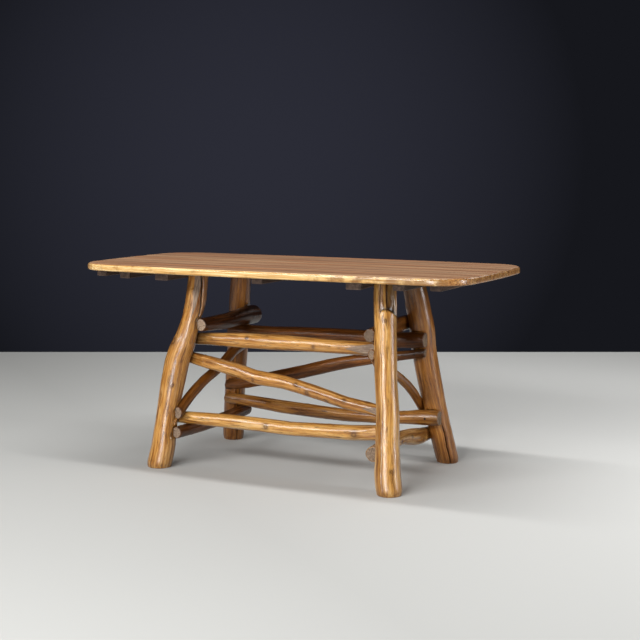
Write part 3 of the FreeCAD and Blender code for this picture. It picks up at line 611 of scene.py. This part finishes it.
for start, darker in ((0.0, amber), (0.5, brown)):
    share = add(tree, "MapRange", [tone, start, start + 0.5])
    colour = add(tree, "Mix", {0: share, 6: colour, 7: darker}, **rgba)

# %% [markdown]
# On that ground come thin coats of other colours, each with a share that says where it
# lies: inner bark, pale sapwood, fine dark grain, bark again in ragged patches, and dashes
# that crowd together there. Then come the rings round knots, a brown band beside each
# check and the black of its gap, which is painted shade in the crack, and painted shade last.

# %% Coats
light = add(tree, "MapRange", [tone, 0.0, 0.5, 0.50, 0.12])
crowd = add(tree, "MapRange", [grain["bark"], 0.44, 0.58, 0.10, 0.78])
from_knot = add(tree, "CombineXYZ", [along_knot, around_knot])
from_knot = add(tree, "VectorMath", [from_knot], out="Value", operation="LENGTH")
ragged = add(tree, "Math", [grain["dip"], 1.1, from_knot], operation="MULTIPLY_ADD")
near_knot = add(tree, "MapRange", [ragged, 0.35, 3.35])
knot_ring = add(tree, "ValToRGB", [near_knot], ramp=[
    (0.00, 0.45), (0.16, 0.60), (0.27, 0.85), (0.34, 0.62), (0.46, 0.34), (0.64, 0.14), (0.85, 0.0)])
off_check = add(tree, "Math", [off_check], operation="ABSOLUTE")
is_open = add(tree, "Math", [check_depth, 1.0], operation="MINIMUM")
# The black gap colour is painted shade in the crack.
beside, gap = (
    add(tree, "Math", [add(tree, "MapRange", [off_check, *limits]), is_open], operation="MULTIPLY")
    for limits in ((7.0, 1.2, 0.0, 0.55), (1.25, 0.70, 0.0, 0.97)))
# The last coat is painted shade from the face attribute: hollows of the front right trunk, pole ends, feet
# and patches.
colour = coated(tree, colour, (
    (grain["broad"], 0.50, 0.66, 0.58, "#75420f"),
    (grain["pale"], 0.56, 0.74, light, "#eccb98"),
    (grain["fine"], 0.47, 0.72, 0.48, "#5f3511"),
    (grain["bark"], 0.54, 0.66, 0.72, "#4f270b"),
    (grain["dash"], 0.56, 0.66, crowd, "#3c1c0a"),
    (knot_ring, "#43220c"), (beside, "#5a3212"), (gap, "#140a05"), (painted_shade_coat, "#1d0e05")))

# %% [markdown]
# Where a pole was hewn flat, or rubbed for years, the varnish is gone and the wood went
# grey. A sawn end shows the year rings round the pith, fine specks, and cracks that run
# out from the pith: they lie where a noise of the direction from the pith passes through
# its middle value. Dark poles have dark ends.

# %% Hewn flats and sawn ends
grey = add(tree, "ValToRGB", [grain["fine"]], ramp=[
    (0.32, "#4b3d33"), (0.45, "#77665a"), (0.58, "#95826f"), (0.72, "#b5a08a")])
hewn = add(tree, "MapRange", [gone, 0.1, 0.6, 0.0, 0.92])
colour = add(tree, "Mix", {0: hewn, 6: colour, 7: grey}, **rgba)

# A wave texture turns once in 2 pi / (20 x scale) metres, here 2.4 mm; a noise has spots of
# about 1 / scale metres, here 6 mm
section = add(tree, "VectorMath", [log, (0.0, 1.0, 1.0)], operation="MULTIPLY")
rings = add(tree, "TexWave", {
    "Vector": section, "Scale": 130.0, "Distortion": 4.0, "Detail": 3.0, "Detail Scale": 0.5},
    wave_type="RINGS", rings_direction="X")
rings = add(tree, "Math", [rings, 0.16], operation="MULTIPLY")
specks = add(tree, "TexNoise", {"Vector": log, "Scale": 160.0, "Detail": 3.0, "Roughness": 0.7})
ringed = add(tree, "Math", [specks, 0.8, rings], operation="MULTIPLY_ADD")
sawn = add(tree, "ValToRGB", [ringed], ramp=[
    (0.28, "#6a5442"), (0.42, "#8f7863"), (0.56, "#a58e78"), (0.72, "#b9a38d")])
around = add(tree, "VectorMath", [section], operation="NORMALIZE")
crack = add(tree, "TexNoise", {
    "Vector": around, "W": add(tree, "SeparateXYZ", [log]), "Scale": 1.3, "Detail": 2.0},
    noise_dimensions="4D")
crack = add(tree, "Math", [crack, 0.5, 0.012], operation="COMPARE")
sawn = coated(tree, sawn, (
    (add(tree, "Math", [crack, 0.75], operation="MULTIPLY"), "#2c1f16"),
    (add(tree, "Math", [tone, 0.80], operation="MULTIPLY"), "#3a2c22")))
on_face = add(tree, "MapRange", [cut_face, 0.35, 0.65])
colour = add(tree, "Mix", {0: on_face, 6: colour, 7: sawn}, **rgba)

# %% [markdown]
# The varnish is the shader's coat, thinner on the dark poles and gone from bare wood.
# Under it the wood is rougher, and a low relief follows the grain.

# %% Varnish
unvarnished = add(tree, "Math", [on_face, hewn], operation="MAXIMUM")
varnish = add(tree, "MapRange", [tone, 0.0, 1.0, 1.0, 0.30])
gloss = add(tree, "MapRange", [grain["dip"], 0.3, 0.7, 0.26, 0.42])
relief = add(tree, "Math", [grain["fine"], 0.45, grain["dip"]], operation="MULTIPLY_ADD")
relief = add(tree, "Math", [grain["dash"], -0.25, relief], operation="MULTIPLY_ADD")
feed(shader, {
    "Base Color": colour,
    "Roughness": add(tree, "MapRange", [unvarnished, 0.0, 1.0, gloss, 0.75]),
    "IOR": 1.5, "Specular IOR Level": 0.25,
    "Coat Weight": add(tree, "MapRange", [unvarnished, 0.0, 1.0, varnish, 0.0]),
    "Coat IOR": 1.55, "Coat Roughness": 0.24,
    "Normal": add(tree, "Bump", {"Height": relief, "Strength": 0.60, "Distance": 1.4 * mm}),
    "Coat Normal": add(tree, "Bump", {"Height": relief, "Strength": 0.45, "Distance": 1.4 * mm})})
print(hickory.name, "has", len(tree.nodes), "nodes")

# %% [markdown]
# Now each trunk and pole is made. The front ones are golden and the back ones dark, as on
# the real table. Knots and checks that can be seen in the photograph are put where it
# shows them, and others are spread by chance over the sides that it does not show.

# %% Knots spread by chance
def scattered(first, last, number, size, height, seed, turn_from=0, turn_to=360):
    """Knots at even steps, each moved a little by chance and given its own turn, size and height."""
    own = np.random.default_rng(seed)
    places = np.linspace(first, last, number + 2)[1:-1] + own.uniform(-0.03, 0.03, number)
    return [(p, own.uniform(turn_from, turn_to), size * own.uniform(0.6, 1.2), height * own.uniform(0.4, 1.1))
            for p in places]


# %% Legs
trunks = {
    "front_left_leg": dict(
        tone=0.22, seed=11, bare=[(0.52, 0.80, -60, 45), (0.692, 0.80, 0, 0)],
        checks=[(-31, 0.50, 0.80, -190, 5.5, 9)],
        knots=[(0.458, -124, 15, 3.6), (0.30, -60, 7, 0.8), (0.12, -20, 7, 1.0)]),
    "front_right_leg": dict(
        tone=0.0, seed=12, carve=stepped_face, checks=[(-57, 0.60, 0.80, 0, 2.6, 5)],
        knots=[(0.575, -66, 8, 0.8), (0.085, -50, 6, 0.6)]),
    "back_left_leg": dict(tone=0.70, seed=13, checks=[(-40, -0.1, 0.22, 20, 2.2, 5)], knots=[]),
    "back_right_leg": dict(
        # The patch at 0.69 m is painted shade just under the top.
        tone=0.47, seed=14, shade_patches=[(0.69, 110, 0.45)], checks=[(-53, -0.1, 0.16, 0, 2.8, 6)],
        knots=[(0.58, -153, 12, 3.0)]),
}
for number, (node, traits) in enumerate(trunks.items()):
    traits["knots"] += scattered(0.05, 0.68, 5, 11, 2.0, seed=40 + number, turn_from=20, turn_to=190)
    skin(node, 2, pitch=3.0, count=192, ease=4.0, lump=0.8, **traits).data.materials.append(hickory)

# %% Poles
long_poles = {
    "front_upper_rail": dict(
        # The patch at -0.35 m is a patch of painted shade on the pole.
        tone=0.16, seed=21, shade_patches=[(-0.35, 75, 0.75)], bare=[(0.25, 0.36, 182, 60), (0.35, 0.60, 0, 0)],
        knots=[(0.133, 190, 6, 0.6), (-0.137, 150, 6, 0.8)]),
    "front_diagonal_rail": dict(
        tone=0.22, seed=22, bare=[(0.33, 0.40, 178, 45), (0.39, 0.70, 0, 0)],
        knots=[(0.073, 150, 6, 1.0), (0.120, 195, 8, 1.4), (0.266, 150, 7, 1.2), (0.197, 215, 7, 1.0),
               (-0.102, 200, 5, 0.6)]),
    "front_lower_rail": dict(tone=0.0, seed=23, knots=[(-0.033, 176, 9, 1.2), (0.315, 185, 13, 1.2)]),
    "back_upper_rail": dict(tone=0.96, seed=24, knots=[]),
    "back_diagonal_rail": dict(tone=0.92, seed=25, knots=[]),
    "back_lower_rail": dict(tone=0.38, seed=26, knots=[]),
}
short_poles = {
    # The wide patch on the left upper pole is painted shade under the top.
    "left_upper_rail": dict(tone=1.0, end_tone=0.05, seed=31, shade_patches=[(0.05, 300, 0.55)]),
    "left_lower_rail": dict(tone=0.96, seed=32),
    "left_brace": dict(tone=0.84, seed=33),
    "right_upper_rail": dict(tone=0.88, end_tone=0.8, seed=34),
    "right_lower_rail": dict(tone=0.05, seed=35),
    "right_brace": dict(tone=0.60, seed=36),
}
for number, (node, traits) in enumerate(long_poles.items()):
    traits["knots"] += scattered(-0.45, 0.45, 6, 8, 1.6, seed=60 + number, turn_from=-90, turn_to=90)
    skin(node, 0, **traits).data.materials.append(hickory)
for number, (node, traits) in enumerate(short_poles.items()):
    knots = scattered(-0.25, 0.25, 4, 8, 1.5, seed=80 + number)
    skin(node, 1, knots=knots, pitch=3.0, **traits).data.materials.append(hickory)

# %% [markdown]
# ## The top
# Eight boards lie side by side, and their common outline was sawn and rounded by hand after
# they were joined: two long bows, two end bows and four round corners, each an arc that
# runs smoothly into the next. One board could be a box with a bevel, but its ends follow
# the outline. So each is a grid over its own part of the plan, and its height comes from
# one function of the distance to the outline, which rounds all eight boards alike.

# %% Outline of the top
half_long, half_wide, thick, low_side = 758.5 * mm, 356 * mm, 24 * mm, 713 * mm
corner_round, end_bow, side_bow = 134 * mm, 19 * mm, 18.5 * mm


def bow_radius(half_span, bow):
    """Radius of the arc that falls back by a bow over half a span: (half_span^2 + bow^2) / (2 bow)."""
    return (half_span ** 2 + bow ** 2) / (2 * bow)


side_radius, end_radius = bow_radius(half_long, side_bow), bow_radius(half_wide, end_bow)
side_middle, end_middle = np.array([0, half_wide - side_radius]), np.array([half_long - end_radius, 0])

# A corner arc runs into both bows where its middle lies at their radii less its own from their middles
from_side, from_end = side_radius - corner_round, end_radius - corner_round
apart = end_middle - side_middle
gap = np.linalg.norm(apart)
before = (from_side ** 2 - from_end ** 2 + gap ** 2) / (2 * gap)
beside = np.sqrt(from_side ** 2 - before ** 2)
across_gap = np.array([apart[1], -apart[0]]) / gap
corner_middle = np.abs(side_middle + apart / gap * before + across_gap * beside)
side_turn = np.arctan2(*(corner_middle - side_middle)[::-1])
end_turn = np.arctan2(*(corner_middle - end_middle)[::-1])
print("corner middle", corner_middle.round(4), "turns", np.degrees([side_turn, end_turn]).round(2))


def inside(x, y):
    """Distance to the outline: the radius of the nearest arc less the distance from its middle."""
    p = np.stack([np.abs(x), np.abs(y)], -1)
    by_side = side_radius - np.linalg.norm(p - side_middle, axis=-1)
    by_end = end_radius - np.linalg.norm(p - end_middle, axis=-1)
    off = p - corner_middle
    turn = np.arctan2(off[..., 1], off[..., 0])
    by_corner = corner_round - np.linalg.norm(off, axis=-1)
    return np.where((turn > end_turn) & (turn < side_turn), by_corner, np.minimum(by_side, by_end))


def reach(place, axis):
    """How far the outline reaches along x (axis 0) at a place y, or along y (axis 1) at a place x."""
    place, other = np.abs(place), 1 - axis
    middle, radius, end = ((end_middle, end_radius, np.sin(end_turn)),
                           (side_middle, side_radius, np.cos(side_turn)))[axis]
    on_corner = np.sqrt(np.maximum(corner_round ** 2 - (place - corner_middle[other]) ** 2, 0))
    on_bow = np.sqrt(radius ** 2 - place ** 2)
    past_bow = place > middle[other] + radius * end
    return np.where(past_bow, corner_middle[axis] + on_corner, middle[axis] + on_bow)


# %% [markdown]
# The rim was rounded with a plane and a rasp: more above, less below. A joint has a narrow
# eased edge, where dust and old varnish have gathered. The top face also has a slight cup
# from board to board.

# %% Heights of a board
top_round, bottom_round, joint_ease, joint_gap = 9 * mm, 6 * mm, 1.2 * mm, 0.2 * mm
board_count = 8
board_wide = 2 * half_wide / board_count


def quarter_round(depth, radius):
    """Drop of a quarter round at a depth in from its edge: radius - sqrt(radius^2 - (radius - depth)^2)."""
    in_round = np.clip(radius - depth, 0, radius)
    return radius - np.sqrt(radius ** 2 - in_round ** 2)


def heights(x, y, joint, share):
    """Upper and lower height at a plan point: rim round, joint ease, a cup and slow planing waves.

    The cup is 0.25 mm deep at both joints and goes with the square of the place between them. Cup
    and waves fade out over the last 15 mm before the rim.
    """
    rim = np.maximum(inside(x, y), 0)
    planed_waves = 1 + np.sin(x * 23 + y * 41) * np.sin(x * 9.7 - y * 60)
    cup = 0.25 * mm * (2 * share - 1) ** 2 + 0.12 * mm * planed_waves
    cup *= np.clip(rim / (15 * mm), 0, 1)
    upper = thick - quarter_round(rim, top_round) - np.maximum(joint_ease - joint, 0) - cup
    lower = quarter_round(rim, bottom_round)
    return low_side + upper, low_side + lower


# %% Plan of a board
near_end = np.array([0, 0.25, 0.8, 1.7, 3.0, 4.8, 7.0, 9.0, 12.0]) * mm
near_joint = np.array([0, 1.2, 2.2, 4.0]) * mm


def steps_in(total, near, pitch):
    """Places from 0 to total, fine near both ends as near gives them and a pitch apart between."""
    count = max(int((total - 2 * near[-1]) / pitch), 2)
    return np.r_[near, np.linspace(near[-1], total - near[-1], count + 1)[1:-1], total - near[::-1]]


def plan(number, front, rear):
    """x and y of a board's grid, whose rows run across the board and whose columns run along it.

    An inner board reaches along x to the end bows at each y. The first and the last reach along y
    from their joint to the long bow at each x, with x = reach sin(turn) so that its steps get
    finer towards the corners.
    """
    along = steps_in(2 * half_long, near_end * 1.3, 9 * mm) / (2 * half_long)
    if 0 < number < board_count - 1:
        y = (front + joint_gap + steps_in(board_wide - 2 * joint_gap, near_joint, 10 * mm))[None, :]
        x = reach(y, 0) * (2 * along[:, None] - 1)
        return x, np.broadcast_to(y, x.shape)
    sign, joint_line = (-1, rear - joint_gap) if number == 0 else (1, front + joint_gap)
    turn = -np.pi / 2 * np.cos(np.pi * along)
    x = reach(joint_line, 0) * np.sin(turn)
    depth = np.maximum(reach(x, 1) - abs(joint_line), 0)
    across = np.r_[steps_in(board_wide, near_end[:-1], 10 * mm), board_wide - near_joint]
    across = np.clip(np.unique(across)[::-1] / board_wide, 0, 1)
    y = sign * (abs(joint_line) + depth[:, None] * (across if sign < 0 else 1 - across))
    return np.broadcast_to(x[:, None], y.shape), y


# %% One board
def board(number):
    """A board from its plan grid, with heights for its two faces and a wall round its edge."""
    front, rear = -half_wide + number * board_wide, -half_wide + (number + 1) * board_wide
    x, y = plan(number, front, rear)
    joint = np.minimum(y - front - joint_gap if number > 0 else 1.0,
                       rear - joint_gap - y if number < board_count - 1 else 1.0)
    upper, lower = heights(x, y, np.maximum(joint, 0), (y - front) / board_wide)
    rows, cols = x.shape
    sheet = np.concatenate([np.stack([x, y, upper], 2), np.stack([x, y, lower], 2)])
    row, col = np.meshgrid(np.arange(rows - 1), np.arange(cols - 1), indexing="ij")
    here = (row * cols + col).ravel()
    above = np.stack([here, here + cols, here + cols + 1, here + 1], 1)
    below = above[:, ::-1] + rows * cols
    edge = np.concatenate([np.arange(rows) * cols, (rows - 1) * cols + np.arange(1, cols),
                           np.arange(rows - 2, -1, -1) * cols + cols - 1, np.arange(cols - 2, 0, -1)])
    after = np.roll(edge, -1)
    walls = np.stack([edge + rows * cols, after + rows * cols, after, edge], 1)
    mesh = bpy.data.meshes.new("top_board_%d_planed" % (number + 1))
    mesh.from_pydata(sheet.reshape(-1, 3), [], np.concatenate([above, below, walls]).tolist())

    # The attribute edge: mm to the joint, mm to the rim, and how squarely x meets the rim
    step = 0.5 * mm
    slope = np.abs(inside(x + step, y) - inside(x - step, y)) / (2 * step)
    marks = np.stack([joint / mm, inside(x, y) / mm, slope], 2).ravel()
    mesh.attributes.new("edge", "FLOAT_VECTOR", "POINT").data.foreach_set("vector", np.tile(marks, 2))
    own = np.full(rows * cols * 2, float(number))
    mesh.attributes.new("board", "FLOAT", "POINT").data.foreach_set("value", own)
    welded = bmesh.new()
    welded.from_mesh(mesh)
    bmesh.ops.remove_doubles(welded, verts=welded.verts, dist=0.01 * mm)
    bmesh.ops.dissolve_degenerate(welded, edges=welded.edges, dist=0.005 * mm)
    bmesh.ops.recalc_face_normals(welded, faces=welded.faces)
    welded.to_mesh(mesh)
    welded.free()
    print("board", number + 1, len(mesh.polygons), "faces")
    return piece(mesh, "top_board_%d" % (number + 1), crease=30)


# %% [markdown]
# The boards are hickory too, planed and rubbed down until the face went matt and a little
# pink, while the rounded rim kept its clear varnish and its honey gold. Board ends show
# end grain, which drinks stain and goes dark and mottled. Grain runs along x, each board
# with its own piece of the pattern and a little of its own colour.

# %% Planed boards
planed, tree, shader = material("planed_hickory_boards")
place = add(tree, "TexCoord", out="Object")
own = add(tree, "Attribute", out="Fac", attribute_name="board")
edge = add(tree, "Attribute", out="Vector", attribute_name="edge")
to_joint, to_rim, end_grain = add(tree, "SeparateXYZ", [edge], out=None)
shift = add(tree, "VectorMath", {0: (0.73, 0.0, 1.37), 3: own}, operation="SCALE")
moved = add(tree, "VectorMath", [place, shift], operation="ADD")
grain = grains(tree, moved, {
    "broad": (38, 1300, 2, 0.5), "red": (30, 800, 2, 0.5), "lines": (7, 420, 4, 0.6),
    "pores": (2.4, 90, 3, 0.7), "gold": (5, 140, 3, 0.6)})
# Blotches of 38 mm, specks of 7 mm, and a wander of 70 mm
blotch, speck, wander = (
    add(tree, "TexNoise", {"Vector": place, "Scale": scale, "Detail": 3.0, "Roughness": 0.6})
    for scale in (26.0, 150.0, 14.0))
tint = add(tree, "TexWhiteNoise", {"W": own}, noise_dimensions="1D")
colour = add(tree, "ValToRGB", [grain["lines"]], ramp=[
    (0.28, "#6d4a30"), (0.42, "#976c4c"), (0.55, "#af8462"), (0.74, "#c79d75")])
colour = coated(tree, colour, (
    (grain["broad"], 0.48, 0.58, 0.62, "#784a30"),
    (grain["red"], 0.52, 0.60, 0.55, "#b46c3e"),
    (grain["red"], 0.47, 0.40, 0.50, "#d0a880"),
    (add(tree, "Math", [tint, 0.30], operation="MULTIPLY"), "#b58f70"),
    (grain["pores"], 0.50, 0.72, 0.45, "#5f3f2a")))

# %% [markdown]
# The line between the matt face and the golden rim wanders, because the rubbing did not
# reach the edge evenly. Brown blotches gather on the rim towards the right end, where they
# are thickest on the real top. End grain shows where the rim faces along x.

# %% Golden rim, end grain and joints
gold = add(tree, "ValToRGB", [grain["gold"]], ramp=[
    (0.30, "#a66f32"), (0.44, "#d2a563"), (0.58, "#e9c78c"), (0.74, "#f7e3b6")])
along_x, _, height = add(tree, "SeparateXYZ", [place], out=None)
to_right = add(tree, "MapRange", [along_x, 0.10, 0.60], **smooth)
blotch = add(tree, "Math", [to_right, 0.22, blotch], operation="MULTIPLY_ADD")
gold = coated(tree, gold, [(blotch, 0.54, 0.78, 0.75, "#75441b")])
sawn = add(tree, "ValToRGB", [speck], ramp=[(0.35, "#5a3216"), (0.5, "#a56c38"), (0.65, "#d09a5a")])
at_end = add(tree, "MapRange", [end_grain, 0.35, 0.75, 0.0, 0.7], **smooth)
gold = add(tree, "Mix", {0: at_end, 6: gold, 7: sawn}, **rgba)
inset = add(tree, "Math", [wander, 5.0, to_rim], operation="MULTIPLY_ADD")
on_rim = add(tree, "MapRange", [inset, 9.5, 6.0], **smooth)
colour = add(tree, "Mix", {0: on_rim, 6: colour, 7: gold}, **rgba)
joint = add(tree, "MapRange", [to_joint, 5.5, 1.0, 0.0, 0.80], **smooth)
off_rim = add(tree, "MapRange", [on_rim, 0.0, 1.0, 1.0, 0.35])
colour = coated(tree, colour, [(add(tree, "Math", [joint, off_rim], operation="MULTIPLY"), "#2e1b10")])
upper = add(tree, "MapRange", [height, 0.717, 0.727, 0.0, 0.8])
relief = add(tree, "Math", [grain["pores"], 0.6, grain["lines"]], operation="MULTIPLY_ADD")
feed(shader, {
    "Base Color": colour, "IOR": 1.45,
    "Roughness": add(tree, "MapRange", [on_rim, 0.0, 1.0, 0.52, 0.30]),
    "Coat Weight": add(tree, "Math", [on_rim, upper], operation="MULTIPLY"), "Coat Roughness": 0.18,
    "Normal": add(tree, "Bump", {"Height": relief, "Strength": 0.35, "Distance": 0.8 * mm})})
for number in range(board_count):
    board(number).data.materials.append(planed)

# %% [markdown]
# ## Cleats, bearers and iron
# What holds the boards is out of sight, so it was left as it came from the saw: rough oak
# bars that went grey-brown, with grain along them, the fine steps of the saw across them,
# and dark fibres and blotches. Their CAD shapes are right, so they stay, and only get this.

# %% Rough-sawn oak
oak, tree, shader = material("rough_sawn_grey_oak")
place = add(tree, "TexCoord", out="Object")
grain = grains(tree, place, {
    "broad": (18, 240, 3, 0.65), "fibre": (2.2, 70, 4, 0.65), "stain": (45, 60, 3, 0.65)}, axis=1)
colour = add(tree, "ValToRGB", [grain["broad"]], ramp=[
    (0.30, "#33271f"), (0.46, "#4e3d34"), (0.60, "#624f43"), (0.76, "#776355")])
colour = coated(tree, colour, (
    (grain["fibre"], 0.46, 0.68, 0.60, "#1d1510"), (grain["stain"], 0.54, 0.66, 0.50, "#35261c")))
# Steps of the saw 3.5 mm apart
saw = add(tree, "TexWave", {"Vector": place, "Scale": 90.0, "Distortion": 4.0, "Detail": 2.0},
          bands_direction="Y")
relief = add(tree, "Math", [saw, 0.4, grain["fibre"]], operation="MULTIPLY_ADD")
feed(shader, {
    "Base Color": colour, "Roughness": add(tree, "MapRange", [grain["fibre"], 0.3, 0.7, 0.70, 0.90]),
    "Normal": add(tree, "Bump", {"Height": relief, "Strength": 0.6, "Distance": 0.8 * mm})})

# %% [markdown]
# The spikes, nails and lag bolts are forged iron, black from the fire, and a little rust
# has come through in spots where the scale wore off.

# %% Forged iron
iron, tree, shader = material("blackened_forged_iron")
place = add(tree, "TexCoord", out="Object")
# Rust in spots of 6 mm, hammer dents of 2.4 mm
rust = add(tree, "TexNoise", {"Vector": place, "Scale": 180.0, "Detail": 4.0, "Roughness": 0.7})
rusty = add(tree, "MapRange", [rust, 0.50, 0.66], **smooth)
dents = add(tree, "TexNoise", {"Vector": place, "Scale": 420.0, "Detail": 2.0})
feed(shader, {
    "Base Color": add(tree, "Mix", {0: rusty, 6: linear("#24211f"), 7: linear("#573019")}, **rgba),
    "Metallic": add(tree, "MapRange", [rusty, 0.0, 1.0, 0.85, 0.0]),
    "Roughness": add(tree, "MapRange", [rusty, 0.0, 1.0, 0.48, 0.85]),
    "Normal": add(tree, "Bump", {"Height": dents, "Strength": 0.5, "Distance": 0.4 * mm})})

# %% Oak and iron on their nodes
# The names cleat_nails and bearer_bolts hold two of the words, and the later one counts
for word, finish in (("cleat", oak), ("bearer", oak), ("spikes", iron), ("bolts", iron), ("nails", iron)):
    for name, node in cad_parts.items():
        for slot in node.material_slots if word in name else ():
            slot.material = finish
            print(name, "is", finish.name)
